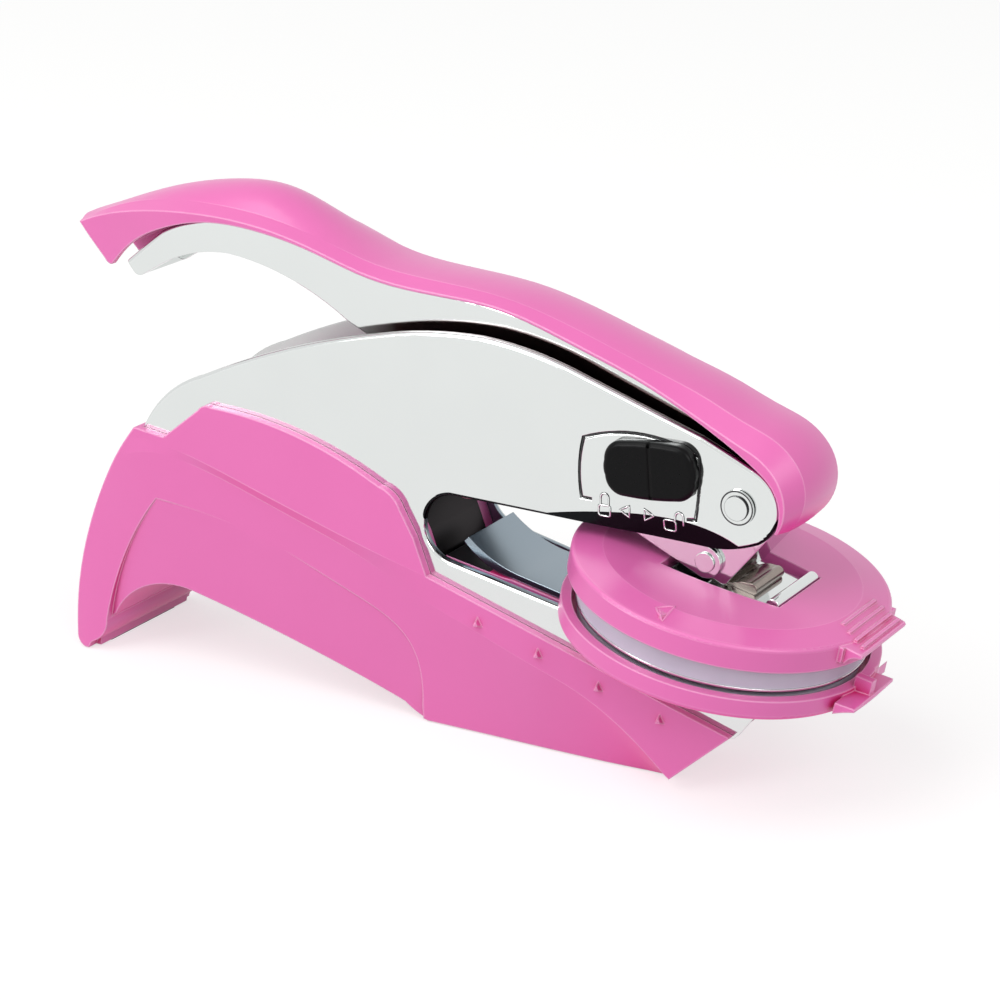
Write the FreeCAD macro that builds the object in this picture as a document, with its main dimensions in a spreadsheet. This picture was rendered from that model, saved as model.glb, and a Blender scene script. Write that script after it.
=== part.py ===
import FreeCAD, Part
import math
import os
import Sketcher

# Seal embosser: a hand press with a rocking handle, a C-shaped frame on a moulded base and a round
# die clip held in the mouth of the frame.  Every sub-part is drawn around the pivot of the handle:
# x runs forward to the dies, z up, y across, and its placement lifts it to the part's own origin,
# on the ground under the middle of the object.

V = FreeCAD.Vector
doc = FreeCAD.newDocument("seal_embosser")

SIZES = {
    # place of the handle's pivot in front of the origin and above the ground
    "pivot_forward": 73.25,
    "pivot_height": 66.0,
    # frame: two plates that close towards the nose
    "frame_half": 12.0,
    "flare": 2.0,
    "plate_thick": 1.8,
    "nose_radius": 8.8,
    "crown_rise": 26.6,
    "tail_back": 149.0,
    "throat_radius": 7.6,
    "throat_back": 67.0,
    "throat_drop": 17.4,
    "jaw_front": 9.3,
    "jaw_drop": 17.0,
    "rim_round": 0.8,
    # moulded base
    "skin": 2.0,
    "pad_proud": 0.4,
    "pad_thick": 1.4,
    "mark_proud": 0.8,
    # clip with the two dies, measured from the top edge of its upper disc
    "tilt": 10.5,
    "clip_back": 7.1,
    "clip_drop": 19.2,
    "die_radius": 31.0,
    "rim_wall": 3.0,
    "crown_inset": 6.5,
    "crown_height": 1.5,
    "upper_thick": 5.0,
    "upper_floor": 3.4,
    "die_bottom": 10.9,
    "die_plate_thick": 0.6,
    "lower_top": 11.4,
    "lower_floor": 14.3,
    "lower_bottom": 15.9,
    "lower_die_thick": 2.1,
    "window_half": 11.9,
    "window_front_half": 9.6,
    "window_back": 10.9,
    "window_front": 16.0,
    "tab_reach": 2.9,
    "lip_radius": 1.45,
    # bed, bridge and tie between the plates
    "bed_thick": 1.6,
    "bed_room": 1.0,
    "bridge_thick": 1.8,
    "bridge_drop": 4.6,
    "tie_radius": 3.0,
    # handle
    "link_room": 0.5,
    "lever_wall": 1.3,
    "pin_back": 8.3,
    "pin_drop": 14.3,
    "pin_radius": 1.5,
    "pin_head_radius": 2.2,
    "link_length": 25.0,
    "link_slope": 23.58,
    "link_round": 3.5,
    "link_thick": 1.1,
    "link_pin_radius": 1.2,
    "pivot_radius": 2.5,
    "pivot_head_radius": 3.8,
    "dome_radius": 2.6,
    "bush_radius": 4.2,
    "screw_radius": 1.4,
    "screw_head_radius": 2.6,
    # lock
    "slider_back": 19.3,
    "slider_up": 4.9,
    "slider_half_long": 10.3,
    "slider_half_tall": 6.0,
    "slider_corner": 4.3,
    "slider_tilt": 4.6,
    "slider_thick": 2.6,
    "slider_travel": 5.0,
    "outline_deep": 0.4,
    "outline_wide": 0.7,
    # return spring
    "spring_back": 55.0,
    "spring_radius": 3.6,
    "spring_wire": 0.55,
    # clearances
    "running": 0.05,
    "seat": 0.1,
    "gap": 0.3,
}

sheet = doc.addObject("Spreadsheet::Sheet", "Sizes")
for row, (name, number) in enumerate(SIZES.items(), start=1):
    sheet.set(f"A{row}", name)
    sheet.set(f"B{row}", str(number))
    sheet.setAlias(f"B{row}", name)
doc.recompute()


class Size:
    """A number together with the sheet expression that gives it."""

    def __init__(self, number, text=None):
        self.number = float(number)
        self.text = text or f"({float(number):.6g})"

    @staticmethod
    def of(value):
        return value if isinstance(value, Size) else Size(value)

    def __add__(self, other):
        other = Size.of(other)
        return Size(self.number + other.number, f"({self.text} + {other.text})")

    def __sub__(self, other):
        other = Size.of(other)
        return Size(self.number - other.number, f"({self.text} - {other.text})")

    def __mul__(self, other):
        other = Size.of(other)
        return Size(self.number * other.number, f"({self.text} * {other.text})")

    def __truediv__(self, other):
        other = Size.of(other)
        return Size(self.number / other.number, f"({self.text} / {other.text})")

    def __radd__(self, other):
        return Size.of(other) + self

    def __rsub__(self, other):
        return Size.of(other) - self

    def __rmul__(self, other):
        return Size.of(other) * self

    def __neg__(self):
        return Size(-self.number, f"(-1 * {self.text})")


def sine(angle):
    return Size(math.sin(math.radians(angle.number)), f"sin({angle.text})")


def cosine(angle):
    return Size(math.cos(math.radians(angle.number)), f"cos({angle.text})")


def tangent(angle):
    return Size(math.tan(math.radians(angle.number)), f"tan({angle.text})")


class Sheet:
    """Reads each named size from the sheet as a Size."""

    def __getattr__(self, name):
        return Size(sheet.get(name), f"Sizes.{name}")


s = Sheet()
parts = {}
LEFT, RIGHT = 1, -1


# ---------------------------------------------------------------- drawing helpers

def bind(item, prop, size):
    item.setExpression(prop, Size.of(size).text)


def new_body(name):
    body = doc.addObject("PartDesign::Body", name)
    body.Label = name
    return body


def new_sketch(body, role="XZ_Plane", lift=0, turn=0, axis=V(0, 1, 0), across=0, along=0):
    """Sketch on an origin plane, lifted along its normal and turned about one of its own axes."""
    sketch = body.newObject("Sketcher::SketchObject", "Sketch")
    plane = next(f for f in body.Origin.OriginFeatures if f.Role == role)
    sketch.AttachmentSupport = (plane, [""])
    sketch.MapMode = "FlatFace"
    lift, turn, across, along = (Size.of(value) for value in (lift, turn, across, along))
    spin = FreeCAD.Rotation(axis, turn.number)
    base = V(across.number, along.number, lift.number)
    sketch.AttachmentOffset = FreeCAD.Placement(base, spin)
    bind(sketch, "AttachmentOffset.Base.x", across)
    bind(sketch, "AttachmentOffset.Base.y", along)
    bind(sketch, "AttachmentOffset.Base.z", lift)
    if turn.number:
        bind(sketch, "AttachmentOffset.Rotation.Angle", turn)
    return sketch


def side_sketch(body, side, out=0):
    """Sketch in the outer face of the frame plate on that side, moved outward by out."""
    return new_sketch(body, lift=(s.frame_half + out) * -side, turn=s.flare * -side)


def pin_point(sketch, item, vertex, x, y):
    """Hold one point of the sketch at x, y, both bound to the sheet."""
    for kind, value in (("DistanceX", x), ("DistanceY", y)):
        size = Size.of(value)
        rule = Sketcher.Constraint(kind, -1, 1, item, vertex, size.number)
        index = sketch.addConstraint(rule)
        sketch.setExpression(f"Constraints[{index}]", size.text)


def draw(sketch, path):
    """Closed outline: (x, y) is a straight stretch to that point, (mx, my, x, y) an arc through m."""
    def flat(x, y):
        return V(Size.of(x).number, Size.of(y).number, 0)

    ends = [flat(*step[-2:]) for step in path]
    first = sketch.GeometryCount
    edges = []
    for n, step in enumerate(path):
        if len(step) == 4:
            edges.append(Part.Arc(ends[n - 1], flat(*step[:2]), ends[n]))
        else:
            edges.append(Part.LineSegment(ends[n - 1], ends[n]))
    sketch.addGeometry(edges, False)
    tips = []
    for n in range(len(path)):
        flipped = sketch.getPoint(first + n, 1).distanceToPoint(ends[n - 1]) > 1e-6
        tips.append((2, 1) if flipped else (1, 2))
    for n, step in enumerate(path):
        before = first + (n - 1) % len(path)
        rule = Sketcher.Constraint("Coincident", before, tips[n - 1][1], first + n, tips[n][0])
        sketch.addConstraint(rule)
        pin_point(sketch, first + n, tips[n][1], *step[-2:])
    for n, step in enumerate(path):
        if len(step) == 4:
            middle = sketch.addGeometry(Part.Point(flat(*step[:2])), True)
            sketch.addConstraint(Sketcher.Constraint("PointOnObject", middle, 1, first + n))
            pin_point(sketch, middle, 1, *step[:2])
    return sketch


def circle(sketch, x, y, radius):
    x, y, radius = Size.of(x), Size.of(y), Size.of(radius)
    round_line = Part.Circle(V(x.number, y.number, 0), V(0, 0, 1), radius.number)
    item = sketch.addGeometry(round_line, False)
    pin_point(sketch, item, 3, x, y)
    index = sketch.addConstraint(Sketcher.Constraint("Radius", item, radius.number))
    sketch.setExpression(f"Constraints[{index}]", radius.text)
    return sketch


def rectangle(x0, y0, x1, y1):
    return [(x1, y0), (x1, y1), (x0, y1), (x0, y0)]


def mirrored(path):
    """The same outline on the other side of the sketch's y axis."""
    turned = []
    for n, step in enumerate(path):
        end = path[n - 1][-2:]
        point = (-Size.of(end[0]), end[1])
        if len(step) == 4:
            turned.append((-Size.of(step[0]), step[1], *point))
        else:
            turned.append(point)
    return turned[::-1]


def extrude(body, kind, sketch, length, midplane=False, reverse=False, through=False):
    feature = body.newObject(f"PartDesign::{kind}", kind)
    feature.Profile = sketch
    feature.Midplane = midplane
    feature.Reversed = reverse
    if through:
        feature.Type = "ThroughAll"
    else:
        length = Size.of(length)
        feature.Length = length.number
        bind(feature, "Length", length)
    doc.recompute()
    return feature


def pad(body, sketch, length, **how):
    return extrude(body, "Pad", sketch, length, **how)


def pocket(body, sketch, length=1, **how):
    before = body.Shape.Volume
    feature = extrude(body, "Pocket", sketch, length, **how)
    if body.Shape.Volume > before - 1e-6:
        raise RuntimeError(f"{body.Label}: a pocket cut nothing")
    return feature


def revolve(body, sketch, axis="V_Axis", angle=360):
    feature = body.newObject("PartDesign::Revolution", "Revolution")
    feature.Profile = sketch
    feature.ReferenceAxis = (sketch, [axis])
    feature.Angle = angle
    doc.recompute()
    return feature


def mirror(body, features):
    """The same features on the other side of the middle plane."""
    twin = body.newObject("PartDesign::Mirrored", "Mirrored")
    twin.Originals = features
    plane = next(f for f in body.Origin.OriginFeatures if f.Role == "XZ_Plane")
    twin.MirrorPlane = (plane, [""])
    body.Tip = twin
    doc.recompute()
    return twin


def soften(body, radius, chosen, kind="Fillet"):
    """Round or bevel the edges that the function chosen picks out of the body's shape."""
    tip = body.Tip
    names = [f"Edge{n}" for n, edge in enumerate(tip.Shape.Edges, start=1) if chosen(edge)]
    if not names:
        raise RuntimeError(f"{body.Label}: no edge to round")
    feature = body.newObject(f"PartDesign::{kind}", kind)
    feature.Base = (tip, names)
    key = "Size" if kind == "Chamfer" else "Radius"
    setattr(feature, key, Size.of(radius).number)
    bind(feature, key, radius)
    doc.recompute()
    return feature


def place(item, clip=False):
    """Lift a sub-part from the pivot, or from the clip's centre, to the part's own origin."""
    x = s.pivot_forward - (s.clip_back if clip else 0)
    z = s.pivot_height - (s.clip_drop if clip else 0)
    turn = s.tilt.number if clip else 0
    base = V(x.number, 0, z.number)
    item.Placement = FreeCAD.Placement(base, FreeCAD.Rotation(V(0, 1, 0), turn))
    bind(item, "Placement.Base.x", x)
    bind(item, "Placement.Base.z", z)
    if clip:
        bind(item, "Placement.Rotation.Angle", s.tilt)
    parts[item.Label] = item


# ---------------------------------------------------------------- shared places

ground = -s.pivot_height
sole = ground + s.pad_proud
slope = tangent(s.tilt)


def clip_level(x, drop):
    """Height at x of a plane of the clip that lies drop below its top edge."""
    return -s.clip_drop - drop / cosine(s.tilt) - (x + s.clip_back) * slope


def outer_half(x):
    """Half width over the frame plates at x."""
    return s.frame_half - x * tangent(s.flare)


def inner_half(x):
    """Half width between the frame plates at x."""
    return outer_half(x) - s.plate_thick / cosine(s.flare)


rake = (1.0, -51.0)
link_back = s.pin_back + s.link_length * cosine(s.link_slope)
link_drop = s.pin_drop - s.link_length * sine(s.link_slope)
link_travel = 2.3
# the lever fits between the links, and the bed between the plates
lever_half = s.frame_half - s.plate_thick - s.link_thick - s.link_room
bed_half = s.frame_half - s.plate_thick - s.bed_room


# ---------------------------------------------------------------- frame

arm_edge = -10.2


def buried_edge(deeper=0):
    """Edge of a plate inside the base, from its front end to the tail."""
    return [
        (-6.0, -52.5 - deeper),
        (-70.0, -36.0 - deeper),
        (-80.0 - deeper, -31.0),
        (-89.0 - deeper, -19.0),
        (-126.0, -8.0 - deeper),
        (-140.0, -13.0 - deeper),
    ]


def frame_outline():
    """C-shaped plate: tail, crowned back, round nose, mouth and lower jaw sunk into the base."""
    nose = s.nose_radius
    floor_x = -s.throat_back - s.throat_radius * sine(s.tilt)
    return [
        (-s.tail_back, -7.2),
        (-143.2, 0.4, -132.6, 6.9),
        (-107.0, 17.5, -84.9, 23.7),
        (-72.4, 25.9, -60.2, s.crown_rise),
        (-50.0, 25.5, -40.0, 23.2),
        (-8.9, 13.3),
        (nose * 0.3, nose * 0.954),
        (nose * 0.985, nose * 0.172, nose * 0.52, nose * -0.854),
        (-1.5, -9.6, -8.5, arm_edge),
        (-s.throat_back, s.throat_radius - s.throat_drop),
        (-s.throat_back - s.throat_radius, -s.throat_drop, floor_x, clip_level(floor_x, s.jaw_drop)),
        (s.jaw_front, clip_level(s.jaw_front, s.jaw_drop)),
        rake,
        *buried_edge(),
        (-s.tail_back, -13.0),
    ]


def frame_side(name, side):
    body = new_body(name)
    plate = draw(side_sketch(body, side), frame_outline())
    pad(body, plate, s.plate_thick, reverse=side == RIGHT)
    outer = s.frame_half.number - 0.9

    def on_outer_rim(edge):
        centre = edge.CenterOfMass
        shift = abs(centre.y) - (s.frame_half.number - centre.x * math.tan(math.radians(s.flare.number)))
        hidden = centre.z < -40 or (centre.x < -75 and centre.z < 0)
        return abs(shift) < 0.2 and not hidden
    soften(body, s.rim_round, on_outer_rim)
    arm_bevel(body, side)
    bore = circle(new_sketch(body, lift=outer * -side), 0, 0, s.pivot_radius + s.running)
    pocket(body, bore, s.plate_thick * 4, midplane=True)
    # blind seats on the inner face: the link's guide slot and the socket of the tie
    middle = (inner_half(-link_back) + s.plate_thick / 2) * -side
    slot = link_guide(new_sketch(body, lift=middle))
    pocket(body, slot, s.plate_thick, reverse=side == LEFT)
    if side == RIGHT:
        lock_openings(body)
    place(body)


# bevel along the lower edge of the arm: x, its height at the outer face and its depth at the edge
ARM_BEVEL = (
    (-46.0, 0.2, 0.05),
    (-34.0, 2.9, 0.6),
    (-18.0, 4.9, 1.0),
    (-8.5, 4.5, 0.9),
    (2.0, 0.9, 0.25),
)


def arm_bevel(body, side):
    """Lens-shaped bevel that thins the arm towards its lower edge."""
    rings = []
    for x, tall, deep in ARM_BEVEL:
        share = min(max((x + 8.5) / (8.5 - s.throat_back.number), 0), 1)
        edge = (s.throat_radius - s.throat_drop) * share + arm_edge * (1 - share)
        face = outer_half(x) * side
        inward = face - (Size(deep) + 0.3 * deep / tall) * side
        outward = face + 0.5 * side
        sketch = new_sketch(body, "YZ_Plane", lift=x)
        rings.append(draw(sketch, [
            (face, edge + tall), (inward, edge - 0.3), (outward, edge - 0.3), (outward, edge + tall)]))
    loft(body, "SubtractiveLoft", rings)


def link_guide(sketch):
    """Slot that the rear pin of the links slides in."""
    wide = s.link_pin_radius + s.seat
    back = -link_back
    front = -link_back + link_travel
    return draw(sketch, [
        (back, wide - link_drop),
        (back - wide, -link_drop, back, -link_drop - wide),
        (front, -link_drop - wide),
        (front + wide, -link_drop, front, wide - link_drop),
    ])


def lock_openings(body):
    """Slot for the neck of the lock slider, and the shallow line drawn round it."""
    half = 2.2 + s.seat
    front = -s.slider_back + 3.4
    back = -s.slider_back - 3.4 - s.slider_travel
    slot = draw(side_sketch(body, RIGHT), [
        (back, s.slider_up + half),
        (back - half, s.slider_up, back, s.slider_up - half),
        (front, s.slider_up - half),
        (front + half, s.slider_up, front, s.slider_up + half),
    ])
    pocket(body, slot, s.plate_thick * 2, midplane=True)
    wide = s.outline_wide
    line = draw(side_sketch(body, RIGHT), [
        (-36.2, -4.6),
        (-36.8, 2.2, -35.9, 9.2),
        (-22.0, 12.1, -8.8, 9.4),
        (-8.5, 2.6, -9.1, -4.9),
        (-11.4, -5.2),
        (-11.4, -5.2 + wide),
        (-9.1 - wide, -4.9 + wide),
        (-8.5 - wide, 2.6, -8.8 - wide, 9.4 - wide),
        (-22.0, 12.1 - wide, -35.9 + wide, 9.2 - wide),
        (-36.8 + wide, 2.2, -36.2 + wide, -4.6 + wide),
        (-33.4, -4.6 + wide),
        (-33.4, -4.6),
    ])
    pocket(body, line, s.outline_deep)


# ---------------------------------------------------------------- moulded base

# side walls of the base along x: height of the ledge and of the crease below it, then the inset of
# the wall at that crease and at the sole
FLANK = (
    (-174.0, -18.0, -24.0, 0.1, 1.9),
    (-155.0, -11.0, -16.0, 0.1, 1.9),
    (-140.0, -10.8, -13.0, 0.1, 2.1),
    (-131.0, -12.8, -14.9, 0.6, 2.6),
    (-118.0, -16.6, -18.9, 1.1, 3.7),
    (-107.0, -19.8, -22.3, 1.1, 4.2),
    (-89.0, -24.8, -28.2, 0.9, 4.7),
    (-76.0, -28.0, -33.8, 0.6, 5.1),
    (-63.0, -31.0, -38.4, 0.5, 5.4),
    (-47.5, -35.6, -43.9, 0.5, 5.6),
    (-35.4, -39.2, -48.1, 0.5, 5.9),
    (-28.8, -41.1, -51.5, 0.5, 6.2),
    (-21.0, -43.4, -56.9, 0.5, 6.8),
    (-16.5, -44.8, -60.8, 0.6, 6.8),
    (-11.0, -46.4, -64.4, 0.8, 7.1),
    (3.0, -50.4, -65.0, 1.0, 7.8),
)
# sunk arch panel from leg to foot: height of its crease, then its inset there and at the sole
ARCH = (
    (-174.0, -19.0, 0.4, 3.2),
    (-158.0, -21.6, 0.4, 3.4),
    (-145.5, -23.9, 0.5, 3.9),
    (-137.7, -24.6, 0.7, 4.4),
    (-126.3, -26.4, 1.3, 5.0),
    (-109.0, -31.2, 1.8, 5.7),
    (-96.7, -36.0, 2.1, 6.1),
    (-83.0, -42.0, 2.3, 6.1),
    (-77.0, -62.0, 4.8, 5.3),
)


def flank_cut(body, table):
    """Cut of both side walls along the stations of the table, from their creases down to the sole."""
    rings = []
    for x, top, *steps in table:
        face = -outer_half(x) - s.skin
        if len(steps) == 2:
            wall = [(face + steps[0], top), (face + steps[1], sole)]
        else:
            low, inset, sole_inset = steps
            wall = [(face, top), (face + inset, low), (face + sole_inset, sole)]
        foot = wall[-1][0]
        sketch = new_sketch(body, "YZ_Plane", lift=x)
        rings.append(draw(sketch, [*wall, (foot, sole - 5), (-32.0, sole - 5), (-32.0, top)]))
    mirror(body, [loft(body, "SubtractiveLoft", rings)])


def side_walls(body):
    """Sunk arch panel, rear strip of the leg at full width again, then the lean of the whole wall."""
    flank_cut(body, ARCH)
    strip = draw(new_sketch(body), [
        (-142.0, -8.6),
        (-144.9, -23.8),
        (-155.4, -40.0, -161.6, -57.6),
        (-163.2, sole + 3.6, -165.4, sole + 2.0),
        (-166.6, sole + 1.0, -167.0, sole),
        (-168.2, sole),
        (-169.6, sole + 0.9, -170.3, sole + 2.6),
        (-165.4, -35.0, -150.2, -7.6),
    ])
    pad(body, strip, 60, midplane=True)
    flank_cut(body, FLANK)


def base_shell():
    body = new_body("base_shell")
    side_view = draw(new_sketch(body), [
        (-142.0, -8.6),
        (-132.0, -0.5),
        (-130.6, 0.6, -128.6, 0.6),
        (-106.0, -2.2, -84.6, -10.2),
        (-81.2, -11.9, -79.2, -14.8),
        (-75.9, -20.5),
        (-72.7, -28.8),
        (0.6, -50.4),
        (-15.9, sole),
        (-76.0, sole),
        (-79.2, sole + 1.2, -82.1, sole + 3.2),
        (-110.0, -53.4, -136.6, -46.2),
        (-150.4, -47.2, -160.2, sole + 9.4),
        (-164.0, sole + 4.9, -165.6, sole),
        (-168.2, sole),
        (-169.6, sole + 0.9, -170.3, sole + 2.6),
        (-165.4, -35.0, -150.2, -7.6),
    ])
    pad(body, side_view, 60, midplane=True)
    side_walls(body)
    # outer side faces, parallel to the frame plates
    front, back = 20, -190
    for side in (LEFT, RIGHT):
        far = 40 * side
        near = [(outer_half(x) + s.skin) * side for x in (front, back)]
        waste = draw(new_sketch(body, "XY_Plane"), [
            (front, near[0]), (front, far), (back, far), (back, near[1])])
        pocket(body, waste, 200, midplane=True)
    # core that carries the bed between the plates
    core_half = inner_half(10) - s.seat
    bed_bottom = s.lower_bottom + s.running + s.bed_thick
    core = draw(new_sketch(body), [
        (-72.0, clip_level(-72.0, bed_bottom) - 0.8),
        (-57.5, clip_level(-57.5, bed_bottom) - 0.3),
        (-55.0, clip_level(-55.0, bed_bottom)),
        (5.0, clip_level(5.0, bed_bottom)),
        (-2.5, -51.0),
        (-74.0, -36.0),
    ])
    pad(body, core, core_half * 2, midplane=True)
    # slots for the plates
    for side in (LEFT, RIGHT):
        slot = draw(side_sketch(body, side, s.seat), [
            (10.0, -35.0),
            (10.0, -52.6),
            *buried_edge(s.seat),
            (-s.tail_back - s.seat, -13.0),
            (-s.tail_back - s.seat, 20.0),
            (-60.0, 20.0),
        ])
        wide = s.plate_thick + s.seat * 2
        pocket(body, slot, wide, reverse=side == LEFT)
    side_details(body)
    underside(body)
    place(body)


def side_details(body):
    """Four small raised pointers on each side, narrower at their faces."""
    root = 0.5
    marks = new_sketch(body, lift=s.frame_half + s.skin - root, turn=s.flare)
    for x, z in ((-60.0, -35.4), (-45.0, -39.5), (-30.3, -44.0), (-15.6, -48.2)):
        draw(marks, [(x - 1.2, z - 2.7), (x, z), (x + 1.1, z - 2.4)])
    bumps = pad(body, marks, s.mark_proud + root)
    bumps.TaperAngle = -18
    doc.recompute()
    mirror(body, [bumps])


pads = {
    "foot_pad_front": (-58.0, -34.0, 6.0),
    "foot_pad_rear": (-167.6, -166.0, 12.0),
}
screw_places = (-66.0, -25.0)
screw_head_drop = 8.0


def underside(body):
    """Recesses of the two rubber pads and bores of the two screws."""
    for back, front, half in pads.values():
        seat = draw(new_sketch(body, "XY_Plane", lift=sole), rectangle(back, -half, front, half))
        pocket(body, seat, s.pad_thick - s.pad_proud, reverse=True)
    for x in screw_places:
        well = circle(new_sketch(body, "XY_Plane", lift=sole), x, 0, s.screw_head_radius + s.gap)
        pocket(body, well, screw_head_drop, reverse=True)
        bore = circle(new_sketch(body, "XY_Plane", lift=sole), x, 0, s.screw_radius + s.seat)
        pocket(body, bore, 60, reverse=True)


def foot_pads():
    for name, (back, front, half) in pads.items():
        body = new_body(name)
        plan = draw(new_sketch(body, "XY_Plane", lift=ground), rectangle(back, -half, front, half))
        pad(body, plan, s.pad_thick)
        place(body)


def base_screws():
    """Two screws from the foot up into the bed plate."""
    body = new_body("base_screws")
    head = sole + screw_head_drop
    for x in screw_places:
        top = clip_level(x, s.lower_bottom + s.bed_thick / 2)
        shank = circle(new_sketch(body, "XY_Plane", lift=head), x, 0, s.screw_radius)
        pad(body, shank, top - head)
        flange = circle(new_sketch(body, "XY_Plane", lift=head), x, 0, s.screw_head_radius)
        pad(body, flange, 1.8, reverse=True)
        socket = draw(new_sketch(body, "XY_Plane", lift=head - 1.8), rectangle(x - 2, -0.35, x + 2, 0.35))
        pocket(body, socket, 0.8, reverse=True)
    place(body)


# ---------------------------------------------------------------- bed, bridge and tie

def bed_plate():
    """Sloping bed under the clip, curled up at its rear end."""
    body = new_body("bed_plate")
    top = s.lower_bottom + s.running
    bottom = top + s.bed_thick
    side_view = draw(new_sketch(body), [
        (5.0, clip_level(5.0, bottom)),
        (5.0, clip_level(5.0, top)),
        (-52.0, clip_level(-52.0, top)),
        (-60.0, clip_level(-60.0, top) + 0.9, -66.4, -20.6),
        (-67.6, -21.8),
        (-62.5, clip_level(-62.5, bottom) + 1.0, -56.0, clip_level(-56.0, bottom)),
    ])
    pad(body, side_view, bed_half * 2, midplane=True)
    for x in screw_places[1:]:
        bore = circle(new_sketch(body, "XY_Plane", lift=-60), x, 0, s.screw_radius + s.running)
        pocket(body, bore, 60, reverse=True)
    place(body)


def plate_spacer(name, back, front, low, high):
    """Bar that fills the width between the plates, following their taper."""
    body = new_body(name)
    plan = draw(new_sketch(body, "XY_Plane", lift=low), [
        (front, -inner_half(front)), (front, inner_half(front)),
        (back, inner_half(back)), (back, -inner_half(back))])
    pad(body, plan, high - low)
    place(body)
    return body


def spring_bridge():
    top = -s.bridge_drop
    back, front = -s.spring_back - 7, -s.spring_back + 7
    body = plate_spacer("spring_bridge", back, front, top - s.bridge_thick, top)
    stud = circle(new_sketch(body, "XY_Plane", lift=top), -s.spring_back, 0,
                  s.spring_radius - s.spring_wire - s.gap)
    pad(body, stud, 4)


def frame_tie():
    body = new_body("frame_tie")
    rod = circle(new_sketch(body), -112.0, 6.5, s.tie_radius)
    pad(body, rod, inner_half(s.tie_radius - 112.0) * 2, midplane=True)
    place(body)


def return_spring():
    body = new_body("return_spring")
    low = -s.bridge_drop + s.spring_wire
    high = 30.0 - s.spring_wire
    wire = new_sketch(body, across=-s.spring_back)
    circle(wire, s.spring_radius, low, s.spring_wire)
    coil = body.newObject("PartDesign::AdditiveHelix", "Coil")
    coil.Profile = wire
    coil.ReferenceAxis = (wire, ["V_Axis"])
    coil.Mode = 0
    coil.Pitch = 4.6
    coil.Height = (high - low).number
    doc.recompute()
    place(body)


# ---------------------------------------------------------------- pivot and pins

def turned_pin(name, x, z, stations):
    """Pin across the middle plane: (half length, radius) steps from the middle outward."""
    body = new_body(name)
    half = new_sketch(body, "XY_Plane", lift=z, across=x)
    points = [(stations[0][1], 0)]
    for n, (reach, radius) in enumerate(stations):
        points.append((radius, reach))
        if n + 1 < len(stations):
            points.append((stations[n + 1][1], reach))
    points.append((0, stations[-1][0]))
    points.append((0, 0))
    draw(half, points)
    feature = revolve(body, half)
    mirror(body, [feature])
    place(body)
    return body


def pivot_pin():
    seat = s.frame_half + 0.15
    turned_pin("pivot_pin", 0, 0, [
        (seat, s.pivot_radius),
        (seat + 0.45, s.pivot_head_radius),
        (seat + 0.95, s.dome_radius),
    ])


def pivot_bush():
    body = new_body("pivot_bush")
    sketch = circle(new_sketch(body), 0, 0, s.bush_radius)
    circle(sketch, 0, 0, s.pivot_radius + s.running)
    pad(body, sketch, (inner_half(s.bush_radius) - s.seat) * 2, midplane=True)
    place(body)


def link(name, side):
    """Flat bar with round ends between the ram pin and the sliding rear pin."""
    body = new_body(name)
    middle = lever_half + s.seat + s.link_thick / 2
    sketch = new_sketch(body, lift=middle * -side)
    along = (-cosine(s.link_slope), sine(s.link_slope))
    across = (sine(s.link_slope) * s.link_round, cosine(s.link_slope) * s.link_round)
    near = (-s.pin_back, -s.pin_drop)
    far = (-link_back, -link_drop)
    draw(sketch, [
        (far[0] + across[0], far[1] + across[1]),
        (far[0] + along[0] * s.link_round, far[1] + along[1] * s.link_round,
         far[0] - across[0], far[1] - across[1]),
        (near[0] - across[0], near[1] - across[1]),
        (near[0] - along[0] * s.link_round, near[1] - along[1] * s.link_round,
         near[0] + across[0], near[1] + across[1]),
    ])
    circle(sketch, *near, s.pin_radius + s.running)
    circle(sketch, *far, s.link_pin_radius + s.running)
    pad(body, sketch, s.link_thick, midplane=True)
    place(body)


def link_pins():
    outside = lever_half + s.seat * 2 + s.link_thick
    turned_pin("ram_pin", -s.pin_back, -s.pin_drop, [
        (outside, s.pin_radius),
        (outside + 0.35, s.pin_head_radius),
    ])
    reach = inner_half(-link_back) + s.plate_thick / 2 - s.seat
    turned_pin("link_pin", -link_back, -link_drop, [(reach, s.link_pin_radius)])


# ---------------------------------------------------------------- handle

def lever_top(lower=0):
    return [
        (-148.6, 36.2 - lower),
        (-145.2, 38.0 - lower, -141.0, 39.5 - lower),
        (-131.0, 41.5 - lower, -120.0, 41.2 - lower),
        (-111.0, 39.9 - lower, -103.0, 37.7 - lower),
        (-91.0, 34.6 - lower, -76.0, 33.1 - lower),
        (-62.0, 32.4 - lower, -50.0, 30.5 - lower),
        (-28.0, 23.6 - lower),
        (-12.0, 16.9 - lower),
    ]


def on_lever_top(edge):
    """Long top edges of the channel, between the tail and the nose."""
    centre = edge.CenterOfMass
    for back, crest in ((-4, 8.5), (-13, 13.5), (-28, 16.4), (-50, 22.0), (-100, 28.0), (-148, 36.0), (-155, 30.0)):
        if centre.x > back:
            break
    return abs(centre.y) > 5 and -155 < centre.x < 0.5 and centre.z > crest and edge.Length > 5


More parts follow.
